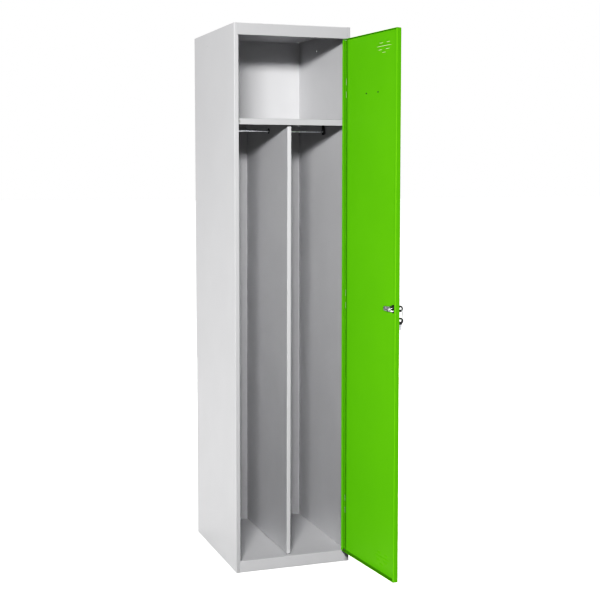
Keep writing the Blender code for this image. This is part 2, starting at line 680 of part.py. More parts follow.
def lock_housing(chrome, dark, pivot):
    head = HEAD_RADIUS
    centre = (LOCK_X, FRONT, LOCK_Z)
    outside = -GAP - GASKET_SHEET
    seal = [(BARREL_RADIUS + GAP, -GAP), (head + 0.0010, -GAP), (head + 0.0010, outside + 0.0003),
            (head + 0.0006, outside), (BARREL_RADIUS + GAP, outside)]
    gasket = mesh_object("lock_gasket", *turned_data(seal, centre, (0, 1, 0), 32), dark, CREASE)
    bore = PLUG_RADIUS + RUNNING_GAP
    under = outside - GAP
    body = [(bore, -HEAD_OUT), (head - 0.0009, -HEAD_OUT), (head, -HEAD_OUT + 0.0009), (head, under),
            (BARREL_RADIUS, under), (BARREL_RADIUS, BARREL_END - 0.0006),
            (BARREL_RADIUS - 0.0006, BARREL_END), (bore, BARREL_END)]
    barrel = mesh_object("lock_barrel", *turned_data(body, centre, (0, 1, 0), 32), chrome, CREASE)
    hexagon = arc((0, 0), NUT_RADIUS, 0, 300, 5)
    nut = mesh_object("lock_nut", *plate_data(hexagon, SHEET + GAP, SHEET + NUT_HEIGHT, lock_plate), dark)
    soften(nut, 0.0004)
    thread = cylinder_data(centre, (0, 1, 0), BARREL_RADIUS + GAP, 0,
                           SHEET + NUT_HEIGHT + OVERCUT, 32)
    bore_cut = combine(nut, "DIFFERENCE", "nut_bore", [thread])
    for piece in (gasket, barrel, nut, bore_cut):
        hang(piece, pivot)


def lock_core(chrome, steel, pivot):
    """The plug that the key turns, the cam on its square end and the screw that holds the cam."""
    centre = (LOCK_X, FRONT, LOCK_Z)
    plug_back = BARREL_END + 0.0004
    face = -HEAD_OUT - 0.0004
    profile = [(0, face), (PLUG_RADIUS - 0.0005, face), (PLUG_RADIUS, -HEAD_OUT), (PLUG_RADIUS, plug_back),
               (0, plug_back)]
    plug = mesh_object("lock_plug", *turned_data(profile, centre, (0, 1, 0), 32), chrome, CREASE)
    spigot = box_data((LOCK_X - SPIGOT, FRONT + plug_back - 0.002, LOCK_Z - SPIGOT),
                      (LOCK_X + SPIGOT, FRONT + CAM_START + CAM_SHEET, LOCK_Z + SPIGOT))
    extras = [combine(plug, "UNION", "plug_spigot", [spigot])]
    slot = box_data((LOCK_X - KEY_SHEET / 2 - GAP, FRONT - 0.010, LOCK_Z - BLADE_HALF - GAP),
                    (LOCK_X + KEY_SHEET / 2 + GAP, FRONT + 0.0125, LOCK_Z + BLADE_HALF + GAP))
    thread = cylinder_data(centre, (0, 1, 0), SCREW_RADIUS + GAP, SCREW_TIP - 0.0005, 2 * SCREW_TIP, 16)
    extras.append(combine(plug, "DIFFERENCE", "plug_keyway", [slot, thread]))
    half = CAM_WIDTH / 2
    tip = 0.0055
    outline = arc((0, 0), half, 90, 270, 12)
    outline += arc((CAM_REACH - tip, -half + tip + 0.001), tip, -90, 0, 5)
    outline += arc((CAM_REACH - tip, half - tip - 0.001), tip, 0, 90, 5)
    cam = mesh_object("lock_cam", *plate_data(outline, CAM_START, CAM_START + CAM_SHEET, lock_plate), steel)
    soften(cam, 0.0003, 1)
    eye = SPIGOT + GAP
    square_hole = box_data((LOCK_X - eye, FRONT + CAM_START - OVERCUT, LOCK_Z - eye),
                           (LOCK_X + eye, FRONT + CAM_START + CAM_SHEET + OVERCUT, LOCK_Z + eye))
    extras.append(combine(cam, "DIFFERENCE", "cam_eye", [square_hole]))
    under = CAM_START + CAM_SHEET + GAP
    shape = [(0, SCREW_TIP), (SCREW_RADIUS, SCREW_TIP), (SCREW_RADIUS, under), (0.0050, under),
             (0.0050, under + 0.0012),
             (0.0042, under + 0.0022), (0.0020, under + 0.0027), (0, under + 0.0028)]
    screw = mesh_object("cam_screw", *turned_data(shape, centre, (0, 1, 0)), steel, CREASE)
    arm = 0.0026
    blade = 0.0006
    top = FRONT + under + 0.0010
    cross = [(blade, blade), (arm, blade), (arm, -blade), (blade, -blade), (blade, -arm), (-blade, -arm),
             (-blade, -blade), (-arm, -blade), (-arm, blade), (-blade, blade), (-blade, arm), (blade, arm)]
    recess = plate_data(cross, top - FRONT, top - FRONT + 0.004, lock_plate)
    extras.append(combine(screw, "DIFFERENCE", "screw_recess", [recess]))
    for piece in (plug, cam, screw, *extras):
        hang(piece, pivot)


def key(prefix, head_middle, hole, bow_down, dark, steel, pivot):
    """A flat key in the plane across the door: plastic head with an eye, metal blade with a bitted edge.

    head_middle is (y, z). The blade points into the lock, or down when bow_down is set, and hole is
    the eye's (y, z).
    """
    def place(u, v, w):
        if bow_down:
            return (LOCK_X + w, head_middle[0] + v, head_middle[1] - u)
        return (LOCK_X + w, head_middle[0] + u, head_middle[1] + v)

    thick = KEY_SHEET / 2 + 0.0009
    outline = arc((0, 0), BOW_RADIUS, 35, 325, 22)
    outline += [(BOW_RADIUS + 0.0010, -0.0058), (BOW_RADIUS + 0.0018, -0.0050),
                (BOW_RADIUS + 0.0018, 0.0050), (BOW_RADIUS + 0.0010, 0.0058)]
    head = mesh_object(prefix + "key_head", *plate_data(outline, -thick, thick, place), dark)
    soften(head, 0.0006)
    eye = cylinder_data((LOCK_X, *hole), (1, 0, 0), BOW_HOLE, -0.006, 0.006)
    socket_half = KEY_SHEET / 2 + GAP
    side = BLADE_HALF + GAP
    socket = plate_data([(BOW_RADIUS - 0.0055, -side), (BOW_RADIUS + 0.0030, -side),
                         (BOW_RADIUS + 0.0030, side), (BOW_RADIUS - 0.0055, side)],
                        -socket_half, socket_half, place)
    extras = [combine(head, "DIFFERENCE", prefix + "head_cuts", [eye, socket])]
    start = BOW_RADIUS - 0.0050
    end = BOW_RADIUS + BLADE_LENGTH
    edge = BLADE_HALF
    bites = [(start, -edge)]
    for n, depth in enumerate((0.0008, 0.0018, 0.0011, 0.0021)):
        x = BOW_RADIUS + BITE_START + n * BITE_PITCH
        bites += [(x - BITE_HALF, -edge), (x, depth - edge), (x + BITE_HALF, -edge)]
    bites += [(end - 0.0020, -edge), (end, -0.0012), (end, 0.0016), (end - 0.0020, edge), (start, edge)]
    blade = mesh_object(prefix + "key_blade", *plate_data(bites, -KEY_SHEET / 2, KEY_SHEET / 2, place),
                        steel)
    for piece in (head, blade, *extras):
        hang(piece, pivot)


def key_ring(steel, pivot):
    """A wire ring across the door's normal that passes through both keys' eyes."""
    around = 40
    sides = 8
    middle = RING_TOP - RING_RADIUS
    points = []
    for i in range(around):
        turn = math.tau * i / around
        for j in range(sides):
            roll = math.tau * j / sides
            reach = RING_RADIUS + WIRE_RADIUS * math.cos(roll)
            points.append((LOCK_X + reach * math.sin(turn), RING_Y + WIRE_RADIUS * math.sin(roll),
                           middle + reach * math.cos(turn)))
    faces = []
    for i in range(around):
        for j in range(sides):
            i_next = (i + 1) % around
            j_next = (j + 1) % sides
            faces.append((i * sides + j, i_next * sides + j, i_next * sides + j_next, i * sides + j_next))
    ring = mesh_object("key_ring", points, faces, steel, math.radians(60))
    hang(ring, pivot)


def build():
    for old in list(bpy.data.objects):
        bpy.data.objects.remove(old)
    grey = material("carcass_paint", (0.66, 0.66, 0.67), 0.45)
    green = material("door_paint", (0.14, 0.49, 0.006), 0.42)
    steel = material("zinc_steel", (0.62, 0.63, 0.65), 0.35, 1.0)
    chrome = material("lock_chrome", (0.80, 0.80, 0.82), 0.15, 1.0)
    dark = material("dark_plastic", (0.02, 0.02, 0.022), 0.5)
    rubber = material("buffer_rubber", (0.45, 0.45, 0.44), 0.7)
    paper = material("label_paper", (0.86, 0.85, 0.80), 0.85)
    clear = material("window_plastic", (0.90, 0.92, 0.93), 0.1)

    side_panel("left_side_panel", -1, LOCK_UPRIGHT, grey)
    right = side_panel("right_side_panel", 1, HINGE_UPRIGHT, grey)
    combine(right, "DIFFERENCE", "upright_notches", barrel_cuts())
    back_panel(grey)
    top_panel(grey)
    floor_panel(grey)
    hat_shelf(grey)
    partition(grey)
    hanging_fittings(steel, dark)
    door_buffer(rubber)

    pivot = bpy.data.objects.new("door_pivot", None)
    bpy.context.scene.collection.objects.link(pivot)
    pivot.location = (PIVOT_X, PIVOT_Y, 0)
    pivot.rotation_euler = (0, 0, REST_OPENING)
    hinges(steel, grey, green, pivot)
    door_panel(green, pivot)
    label_holder(dark, paper, clear, pivot)
    lock_housing(chrome, dark, pivot)
    lock_core(chrome, steel, pivot)
    key("", (FRONT - BOW_MIDDLE, LOCK_Z), (RING_Y, LOCK_Z), False, dark, steel, pivot)
    key_ring(steel, pivot)
    spare_middle = SPARE_HOLE_Z - EYE_OFFSET
    key("spare_", (RING_Y, spare_middle), (RING_Y, SPARE_HOLE_Z), True, dark, steel, pivot)


build()
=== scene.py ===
"""Looks of the steel clothes locker: powder coat, plated metal, moulded plastic, lock and keys.

Every sheet and fitting of the frame comes back as a cleaned copy with rounded edges and smooth
bends. The lock, its nut, the keys and their ring are modelled anew around the frame's axes.
"""

import json
import math

import bmesh
import bpy
from mathutils import Matrix, Vector

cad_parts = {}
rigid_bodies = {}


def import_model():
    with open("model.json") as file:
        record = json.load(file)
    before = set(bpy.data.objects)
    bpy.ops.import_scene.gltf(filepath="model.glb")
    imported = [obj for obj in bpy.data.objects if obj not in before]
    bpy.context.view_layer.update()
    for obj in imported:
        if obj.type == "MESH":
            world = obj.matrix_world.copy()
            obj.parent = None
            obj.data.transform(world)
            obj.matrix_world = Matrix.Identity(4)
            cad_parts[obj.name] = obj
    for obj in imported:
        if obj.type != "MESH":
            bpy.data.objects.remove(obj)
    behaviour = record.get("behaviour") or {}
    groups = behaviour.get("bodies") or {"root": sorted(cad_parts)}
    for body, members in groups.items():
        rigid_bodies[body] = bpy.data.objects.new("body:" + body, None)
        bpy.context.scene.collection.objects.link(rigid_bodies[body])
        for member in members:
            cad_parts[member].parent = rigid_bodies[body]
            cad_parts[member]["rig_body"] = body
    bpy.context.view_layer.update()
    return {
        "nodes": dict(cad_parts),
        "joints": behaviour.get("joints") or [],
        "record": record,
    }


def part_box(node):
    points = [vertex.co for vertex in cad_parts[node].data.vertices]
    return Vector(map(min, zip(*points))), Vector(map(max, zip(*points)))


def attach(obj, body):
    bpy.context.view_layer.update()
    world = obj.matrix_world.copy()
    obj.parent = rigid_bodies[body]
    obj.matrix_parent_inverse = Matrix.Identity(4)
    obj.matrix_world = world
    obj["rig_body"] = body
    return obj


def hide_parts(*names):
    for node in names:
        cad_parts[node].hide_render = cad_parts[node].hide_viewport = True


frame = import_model()

# Camera
CAMERA_PLACE = (-1.3019, -3.7331, 1.3103)
CAMERA_YAW = math.radians(19.595)
CAMERA_PITCH = math.radians(-4.756)
CAMERA_REACH = 300.0
SENSOR = 36.0
FOCAL_LENGTH = 71.95
SHIFT = (0.0, -0.040)

# Light: the lamps' powers are in watts, and the sun's in watts per square metre
DOOR_SHEETS = ("door_panel_look", "upper_door_leaf_look", "middle_door_leaf_look",
               "lower_door_leaf_look")
INNER_SHEETS = ("back_panel_look", "right_side_panel_look", "partition_look", "floor_panel_look")
KEY_LIGHT = {"place": (-1.26, -2.9, 2.08), "target": (0.0, 0.2, 1.2), "size": (0.85, 0.24)}
DOOR_TARGET = (0.19, -0.2, 0.8)
SPOT_SOFTNESS = 0.25
UNREFLECTED_LIGHTS = ("back_box",)
FLAGGED_LIGHTS = ("inner_key", "upper_key")
FLAG_Y = -0.020
FLAG_EDGES = (0.1795, 0.230, 0.0, 1.81)
WORLD_FILL = 0.05
BACKDROP = 1.0
FLOOR_SUN = 4.3
SUN_SPREAD = math.radians(80)
SUN_TURN = (math.radians(20), math.radians(-12), 0.0)
FLOOR_REACH = 60.0
FLOOR_Z = -0.0004
COMBINED_CURVE = 3
GRADE = ((0.03, 0.010), (0.06, 0.030), (0.10, 0.050), (0.20, 0.148), (0.35, 0.360), (0.60, 0.650))

# Cleaning and edges of the frame's pieces
WELD_DISTANCE = 0.000004
FLAT_ANGLE = math.radians(0.6)
SHARP_ANGLE = math.radians(32)
EDGE_ANGLE = 35
EDGE_SEGMENTS = 2
USUAL_EDGE = 0.0002
EDGE_WIDTHS = {"label_card": 0.0, "label_window": 0.0001, "door_buffer": 0.0003,
               "hanging_rail": 0.0003, "lock_cam": 0.0003, "rail_bracket_left": 0.0004,
               "rail_bracket_right": 0.0004}
REBUILT = {"lock_barrel", "lock_nut", "key_head", "key_blade", "spare_key_head",
           "spare_key_blade", "key_ring"}

# Key lock: radii about its axis, and places along it inwards from the door's outer face
BARREL_SIDES = 72
BARREL_RADIUS = 0.0095
BARREL_FLAT = 0.0084
BARREL_BORE = 0.0063
BARREL_END = 0.0190
BARREL_HEAD = 0.0120
END_CHAMFER = 0.0003
END_SHOULDER = 0.0008
END_INSET = 0.0011
BORE_LEAD = 0.0005
BORE_CHAMFER = 0.0004
HEAD_BACK = -0.0015
HEAD_FRONT = -0.0038
HEAD_ROUND = 0.0011
HEAD_STEPS = 6
HEAD_GROOVE = ((0.0086, 0.0), (0.0088, 0.00025), (0.0092, 0.00025), (0.0094, 0.0))
THREAD_START = 0.0008
THREAD_END = 0.0182
THREAD_PITCH = 0.0010
THREAD_DEPTH = 0.0005
THREAD_STEPS = 6
THREAD_CREST = 1.25
NUT_SIDES = 96
NUT_BACK = 0.0013
NUT_FRONT = 0.0108
NUT_RADIUS = 0.0128
NUT_BORE = 0.0098
NUT_CHAMFER = 0.0005
NUT_CROWN = 0.0003
NUT_SLOPE = math.tan(math.radians(28))

# Keys, measured from the middle of the bow towards the blade's tip. BOW_MIDDLE is how far that
# middle stands out from the lock's pivot, and GROOVE_MIDDLE is measured from BLADE_START
KEY_HALF = 0.0010
BOW_SIDES = 96
BOW_RADIUS = 0.0100
BOW_HALF = 0.0019
BOW_NECK = 0.0056
BOW_END = 0.0118
BOW_MIDDLE = 0.0172
EYE_RADIUS = 0.0045
EYE = (-0.0015, 0.0)
REACH_STEP = 0.00005
REACH_LIMIT = 0.05
BLADE_HALF = 0.0040
BLADE_START = 0.0050
BLADE_END = 0.0290
BLADE_EDGE = 0.00015
BLADE_ANGLE = 25
BITE_START = 0.0172
BITE_PITCH = 0.0028
BITE_MOUTH = 0.0010
BITE_FLOOR = 0.0003
BITE_DEPTHS = (0.0008, 0.0018, 0.0011, 0.0021)
TIP_LENGTH = 0.0020
TIP_LOW = -0.0012
TIP_HIGH = 0.0016
GROOVE_SIZE = (0.030, 0.0009, 0.0014)
GROOVE_MIDDLE = 0.0215
GROOVES = (("near", -1, 0.0012), ("far", 1, -0.0008))

# The bow's thickness, as shares of its half: from the eye's rim (0) to the outline (1)
BOW_PROFILE = ((0.00, 0.60), (0.02, 0.88), (0.08, 1.00), (0.20, 1.00), (0.28, 0.72), (0.62, 0.72),
               (0.72, 1.00), (0.90, 1.00), (0.975, 0.85), (1.00, 0.50))

# Ring of the keys
RING_RADIUS = 0.0150
RING_WIRE = 0.0009
RING_STEPS = 160
RING_TURNS = 2.0
RING_START = math.radians(140)
RING_SECTION = 10
WIRE_FLATNESS = 0.96
SWAP_START = 0.46
SWAP_LENGTH = 0.08
TIP_SHARE = 0.35
TIP_GROWTH = 12

# The Mix node's colour sockets, which share their names with its number sockets
MIX_COLOURS = (6, 7)
MIX_RESULT = 2


class Recipe:
    """A material's nodes, with short calls for the ones that every finish here uses."""

    def __init__(self, name):
        self.material = bpy.data.materials.new(name)
        self.material.use_nodes = True
        self.tree = self.material.node_tree
        self.shader = self.tree.nodes["Principled BSDF"]
        self.place = self.tree.nodes.new("ShaderNodeTexCoord").outputs["Object"]

    def link(self, source, target):
        self.tree.links.new(source, target)

    def fill(self, slot, value):
        """Puts a number or a colour in a socket, or links a node's output to it."""
        if isinstance(value, (int, float)):
            slot.default_value = value
        elif isinstance(value, tuple):
            slot.default_value = (*value, 1.0)
        else:
            self.link(value, slot)

    def set(self, **values):
        for key, value in values.items():
            self.shader.inputs[key.replace("_", " ")].default_value = value

    def stretched(self, scale):
        node = self.tree.nodes.new("ShaderNodeMapping")
        node.inputs["Scale"].default_value = scale
        self.link(self.place, node.inputs["Vector"])
        return node.outputs["Vector"]

    def noise(self, scale, detail=2.0, roughness=0.5, vector=None):
        node = self.tree.nodes.new("ShaderNodeTexNoise")
        node.inputs["Scale"].default_value = scale
        node.inputs["Detail"].default_value = detail
        node.inputs["Roughness"].default_value = roughness
        self.link(vector or self.place, node.inputs["Vector"])
        return node.outputs["Fac"]

    def span(self, value, low, high, to=(0.0, 1.0)):
        """The value's range from low to high, laid out anew over the range given."""
        node = self.tree.nodes.new("ShaderNodeMapRange")
        for key, number in (("From Min", low), ("From Max", high), ("To Min", to[0]),
                            ("To Max", to[1])):
            node.inputs[key].default_value = number
        self.link(value, node.inputs["Value"])
        return node.outputs["Result"]

    def math(self, operation, first, second):
        node = self.tree.nodes.new("ShaderNodeMath")
        node.operation = operation
        for slot, value in zip(node.inputs, (first, second)):
            self.fill(slot, value)
        return node.outputs[0]

    def mix(self, factor, first, second):
        node = self.tree.nodes.new("ShaderNodeMix")
        node.data_type = "RGBA"
        self.link(factor, node.inputs["Factor"])
        for slot, value in zip(MIX_COLOURS, (first, second)):
            self.fill(node.inputs[slot], value)
        return node.outputs[MIX_RESULT]

    def edges(self, low, high):
        """1 on outer edges and 0 on flat and inner surfaces."""
        node = self.tree.nodes.new("ShaderNodeNewGeometry")
        return self.span(node.outputs["Pointiness"], low, high)

    def bump(self, height, distance, strength, after=None):
        node = self.tree.nodes.new("ShaderNodeBump")
        node.inputs["Distance"].default_value = distance
        node.inputs["Strength"].default_value = strength
        self.link(height, node.inputs["Height"])
        if after:
            self.link(after, node.inputs["Normal"])
        return node.outputs["Normal"]

    def finish(self, colour, roughness, normal=None):
        self.link(colour, self.shader.inputs["Base Color"])
        self.link(roughness, self.shader.inputs["Roughness"])
        if normal:
            self.link(normal, self.shader.inputs["Normal"])
        return self.material


def shade(colour, factor):
    """The colour made darker or lighter, with its hue kept."""
    return tuple(channel * factor for channel in colour)


def powder_coat(name, colour, roughness, gloss_level):
    """Sprayed and baked paint: fine orange peel, faint clouding and flecks, and a slow wave."""
    look = Recipe(name)
    look.set(Specular_IOR_Level=gloss_level)
    clouds = look.span(look.noise(scale=5.0, detail=3.0), 0.35, 0.65)
    flecks = look.span(look.noise(scale=2200.0, detail=1.0), 0.30, 0.70)
    base = look.mix(clouds, shade(colour, 0.985), shade(colour, 1.01))
    base = look.mix(look.span(flecks, 0.0, 1.0, to=(0.0, 0.04)), base, shade(colour, 0.80))
    gloss = look.span(look.noise(scale=12.0, detail=3.0), 0.3, 0.7,
                      to=(roughness - 0.02, roughness + 0.03))
    peel = look.noise(scale=650.0, detail=1.5, roughness=0.4)
    wave = look.noise(scale=3.5, detail=0.0)
    waved = look.bump(wave, distance=0.0010, strength=0.25)
    return look.finish(base, gloss, look.bump(peel, distance=0.00004, strength=0.5, after=waved))


def plated_steel(name, colour, roughness):
    """Zinc plate: a bright base with rolled streaks and a duller film in places."""
    look = Recipe(name)
    look.set(Metallic=1.0)
    streaks = look.noise(scale=900.0, vector=look.stretched((0.12, 1.0, 1.0)))
    film = look.span(look.noise(scale=120.0, detail=3.0), 0.4, 0.65)
    base = look.mix(film, colour, shade(colour, 0.78))
    gloss = look.math("ADD", look.span(streaks, 0.3, 0.7, to=(-0.06, 0.06)),
                      look.span(film, 0.0, 1.0, to=(roughness - 0.05, roughness + 0.10)))
    return look.finish(base, gloss, look.bump(streaks, distance=0.00003, strength=0.5))


def chrome_plate(name, colour):
    """Bright plate with a thin haze in places."""
    look = Recipe(name)
    look.set(Metallic=1.0)
    haze = look.noise(scale=400.0, detail=3.0)
    base = look.mix(look.span(haze, 0.45, 0.7), colour, shade(colour, 0.90))
    gloss = look.span(haze, 0.35, 0.7, to=(0.10, 0.24))
    fine = look.noise(scale=1500.0, detail=1.0)
    return look.finish(base, gloss, look.bump(fine, distance=0.00001, strength=0.4))


def moulded_plastic(name, colour, roughness, grain=1800.0):
    """Fine spark-eroded grain, rubbed smoother and lighter along the edges."""
    look = Recipe(name)
    rub = look.edges(0.52, 0.62)
    speck = look.noise(scale=grain)
    rubbed = tuple(channel + 0.06 for channel in colour)
    base = look.mix(look.span(speck, 0.3, 0.7), shade(colour, 0.85), shade(colour, 1.2))
    base = look.mix(look.math("MULTIPLY", rub, 0.35), base, rubbed)
    gloss = look.math("SUBTRACT",
                      look.span(speck, 0.3, 0.7, to=(roughness - 0.05, roughness + 0.08)),
                      look.math("MULTIPLY", rub, 0.12))
    return look.finish(base, gloss, look.bump(speck, distance=0.00005, strength=0.6))


def card_stock(name, colour):
    """Uncoated card with its fibres lying along the sheet."""
    look = Recipe(name)
    lie = look.stretched((1.0, 1.0, 0.35))
    fibres = look.noise(scale=700.0, detail=4.0, roughness=0.7, vector=lie)
    base = look.mix(look.span(fibres, 0.35, 0.65), shade(colour, 0.93), colour)
    return look.finish(base, look.span(fibres, 0.3, 0.7, to=(0.80, 0.92)),
                       look.bump(fibres, distance=0.00004, strength=0.5))


def clear_sheet(name, colour):
    """Thin clear plastic with faint handling marks."""
    look = Recipe(name)
    look.set(Transmission_Weight=1.0, IOR=1.46)
    lie = look.stretched((1.0, 1.0, 0.2))
    marks = look.noise(scale=260.0, detail=4.0, roughness=0.6, vector=lie)
    base = look.mix(look.span(marks, 0.4, 0.7), colour, shade(colour, 0.96))
    return look.finish(base, look.span(marks, 0.4, 0.75, to=(0.05, 0.20)))


colours = {entry["slot"]: tuple(entry["base_color"][:3]) for entry in frame["record"]["materials"]}
finishes = {
    "carcass_paint": powder_coat("carcass_paint_look", colours["carcass_paint"], 0.45, 0.35),
    "door_paint": powder_coat("door_paint_look", (0.165, 0.49, 0.009), 0.48, 0.10),
    "zinc_steel": plated_steel("zinc_steel_look", colours["zinc_steel"], 0.32),
    "lock_chrome": chrome_plate("lock_chrome_look", colours["lock_chrome"]),
    "dark_plastic": moulded_plastic("dark_plastic_look", colours["dark_plastic"], 0.48),
    "buffer_rubber": moulded_plastic("buffer_rubber_look", colours["buffer_rubber"], 0.72, 900.0),
    "label_paper": card_stock("label_paper_look", colours["label_paper"]),
    "window_plastic": clear_sheet("window_plastic_look", colours["window_plastic"]),
}
slots = {entry["node"]: entry["material_slot"] for entry in frame["record"]["subparts"]}


def link_piece(name, mesh, body, slot, replaced):
    """Shows a mesh on a body with a slot's finish, in place of the CAD nodes it replaces."""
    piece = bpy.data.objects.new(name, mesh)
    bpy.context.scene.collection.objects.link(piece)
    piece.data.materials.clear()
    piece.data.materials.append(finishes[slot])
    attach(piece, body)
    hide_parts(*replaced)
    return piece


def round_edges(piece, width, angle=EDGE_ANGLE):
    """Small rounded edges, with the shading kept level across the flat faces between them."""
    if width:
        change = piece.modifiers.new("rounded_edges", "BEVEL")
        change.width = width
        change.segments = EDGE_SEGMENTS
        change.limit_method = "ANGLE"
        change.angle_limit = math.radians(angle)
    level = piece.modifiers.new("level_shading", "WEIGHTED_NORMAL")
    level.mode = "FACE_AREA_WITH_ANGLE"
    level.weight = 100
    level.keep_sharp = True


def refined(node):
    """A cleaned copy of a CAD node: flat faces whole again, bends smooth and edges rounded."""
    source = frame["nodes"][node]
    shape = bmesh.new()
    shape.from_mesh(source.data)
    bmesh.ops.remove_doubles(shape, verts=shape.verts, dist=WELD_DISTANCE)
    bmesh.ops.dissolve_limit(shape, angle_limit=FLAT_ANGLE, verts=shape.verts, edges=shape.edges)
    mesh = bpy.data.meshes.new(node + "_look")
    shape.to_mesh(mesh)
    shape.free()
    mesh.shade_smooth()
    mesh.set_sharp_from_angle(angle=SHARP_ANGLE)
    piece = link_piece(node + "_look", mesh, source["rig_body"], slots[node], [node])
    round_edges(piece, EDGE_WIDTHS.get(node, USUAL_EDGE))


for node in frame["nodes"]:
    if node not in REBUILT:
        refined(node)

# The lock's frame at rest: x across the door away from its hinge, y inwards along the lock's axis
joints = {joint["name"]: joint for joint in frame["joints"]}
lock_axis = Vector(joints["lock_turn"]["axis"])
opening = math.atan2(lock_axis.x, -lock_axis.y)
lock_place = Matrix.Translation(joints["lock_turn"]["pos_m"]) @ Matrix.Rotation(opening, 4, "Z")


def grid_mesh(name, rows, place, smooth, closed_rows=True):
    """A skin over rows of points, each a loop. The last row joins the first, or both are capped."""
    mesh = bpy.data.meshes.new(name)
    shape = bmesh.new()
    lines = [[shape.verts.new(place @ Vector(point)) for point in row] for row in rows]
    count = len(lines[0])
    for line, following in zip(lines, lines[1:] + lines[:1] if closed_rows else lines[1:]):
        for i in range(count):
            j = (i + 1) % count
            shape.faces.new((line[i], line[j], following[j], following[i]))
    if not closed_rows:
        shape.faces.new(lines[0])
        shape.faces.new(lines[-1])
    bmesh.ops.recalc_face_normals(shape, faces=shape.faces)
    if shape.calc_volume(signed=True) < 0:
        bmesh.ops.reverse_faces(shape, faces=shape.faces)
    shape.to_mesh(mesh)
    shape.free()
    mesh.shade_smooth()
    mesh.set_sharp_from_angle(angle=math.radians(smooth))
    return mesh


def rim_point(radius, turn, along, limit=math.inf):
    """A point about the lock's axis, held within the limit to either side."""
    return max(-limit, min(limit, radius * math.cos(turn))), along, radius * math.sin(turn)


def turns_of(sides):
    return [math.tau * i / sides for i in range(sides)]


def circle(radius, along, sides, limit=math.inf):
    """A ring of points about the lock's axis, flattened to the limit on two sides."""
    return [rim_point(radius, turn, along, limit) for turn in turns_of(sides)]


def lock_barrel():
    """A grooved round head and a threaded barrel that is flat on two sides, open right through."""
    sides = BARREL_SIDES
    rows = [circle(BARREL_BORE, HEAD_FRONT + BORE_LEAD, sides),
            circle(BARREL_BORE + BORE_CHAMFER, HEAD_FRONT, sides)]
    rows += [circle(radius, HEAD_FRONT + depth, sides) for radius, depth in HEAD_GROOVE]
    for step in range(HEAD_STEPS + 1):
        turn = math.pi / 2 * step / HEAD_STEPS
        rows.append(circle(BARREL_HEAD - HEAD_ROUND * (1 - math.sin(turn)),
                           HEAD_FRONT + HEAD_ROUND * (1 - math.cos(turn)), sides))
    rows.append(circle(BARREL_HEAD, HEAD_BACK, sides))
    rows.append(circle(BARREL_RADIUS - THREAD_DEPTH, HEAD_BACK, sides))
    rows.append(circle(BARREL_RADIUS - THREAD_DEPTH, THREAD_START, sides))
    count = int((THREAD_END - THREAD_START) / THREAD_PITCH * THREAD_STEPS)
    for step in range(count):
        along = THREAD_START + (step + 0.5) * THREAD_PITCH / THREAD_STEPS
        fade = min(1.0, (step + 1) / THREAD_STEPS, (count - step) / THREAD_STEPS)
        ring = []
        for i, turn in enumerate(turns_of(sides)):
            phase = (along / THREAD_PITCH + i / sides) % 1.0
            ridge = (1 - abs(2 * phase - 1)) * fade
            radius = BARREL_RADIUS - THREAD_DEPTH * (1 - min(1.0, THREAD_CREST * ridge))
            ring.append(rim_point(radius, turn, along, BARREL_FLAT))
        rows.append(ring)
    rows.append(circle(BARREL_RADIUS - END_SHOULDER, BARREL_END - END_CHAMFER, sides, BARREL_FLAT))
    rows.append(circle(BARREL_RADIUS - END_INSET, BARREL_END, sides, BARREL_FLAT))
    rows.append(circle(BARREL_BORE, BARREL_END, sides))
    mesh = grid_mesh("lock_barrel_look", rows, lock_place, 50)
    link_piece("lock_barrel_look", mesh, "door", "lock_chrome", ["lock_barrel"])


def lock_nut():
    """A hexagon nut with both faces turned to a cone and its bore chamfered. Its dark finish is
    partly painted shade, standing in for the shadow and dark reflection along the lock's barrel.
    """
    twelfth = math.pi / 6
    apothem = NUT_RADIUS * math.cos(twelfth)
    rows = []
    for face, inwards in ((NUT_BACK, 1), (NUT_FRONT, -1)):
        outline = []
        for turn in turns_of(NUT_SIDES):
            radius = apothem / math.cos((turn + twelfth) % (math.pi / 3) - twelfth)
            drop = NUT_SLOPE * max(0.0, radius - apothem + NUT_CROWN)
            outline.append(rim_point(radius, turn, face + inwards * drop))
        side = [circle(NUT_BORE, face + inwards * NUT_CHAMFER, NUT_SIDES),
                circle(NUT_BORE + NUT_CHAMFER, face, NUT_SIDES),
                circle(apothem - NUT_CROWN, face, NUT_SIDES), outline]
        rows += side if inwards > 0 else side[::-1]
    mesh = grid_mesh("lock_nut_look", rows, lock_place, 25)
    # The nut's dark finish is painted shade for the shadow and dark reflection along the barrel
    link_piece("lock_nut_look", mesh, "door", "dark_plastic", ["lock_nut"])


def frame_low(node):
    """The height of a CAD node's lowest point."""
    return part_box(node)[0].z


def key_places():
    """Each key's frame: x from its bow to the blade's tip, y through its thickness, z across it."""
    along = -lock_axis
    side = Vector((0, 0, 1))
    through = side.cross(along)
    bow = Vector(joints["lock_turn"]["pos_m"]) + lock_axis * BOW_MIDDLE
    first = Matrix.Translation(bow) @ Matrix((along, through, side)).transposed().to_4x4()
    down = Vector((0, 0, -1))
    hang_at = Vector(joints["spare_key_swing"]["pos_m"])
    spare_bow = Vector((hang_at.x, hang_at.y, frame_low("spare_key_head") + BOW_END))
    axes = Matrix((down, through, down.cross(through))).transposed().to_4x4()
    return first, Matrix.Translation(spare_bow) @ axes


def bow_reach(turn):
    """Distance from the eye's middle to the outline of the bow and its neck."""
    heading = Vector((math.cos(turn), math.sin(turn)))
    reach = 0.0
    while reach < REACH_LIMIT:
        spot = Vector(EYE) + heading * reach
        inside_bow = spot.length <= BOW_RADIUS
        inside_neck = 0 <= spot.x <= BOW_END and abs(spot.y) <= BOW_NECK
        if not (inside_bow or inside_neck):
            return reach
        reach += REACH_STEP
    return reach


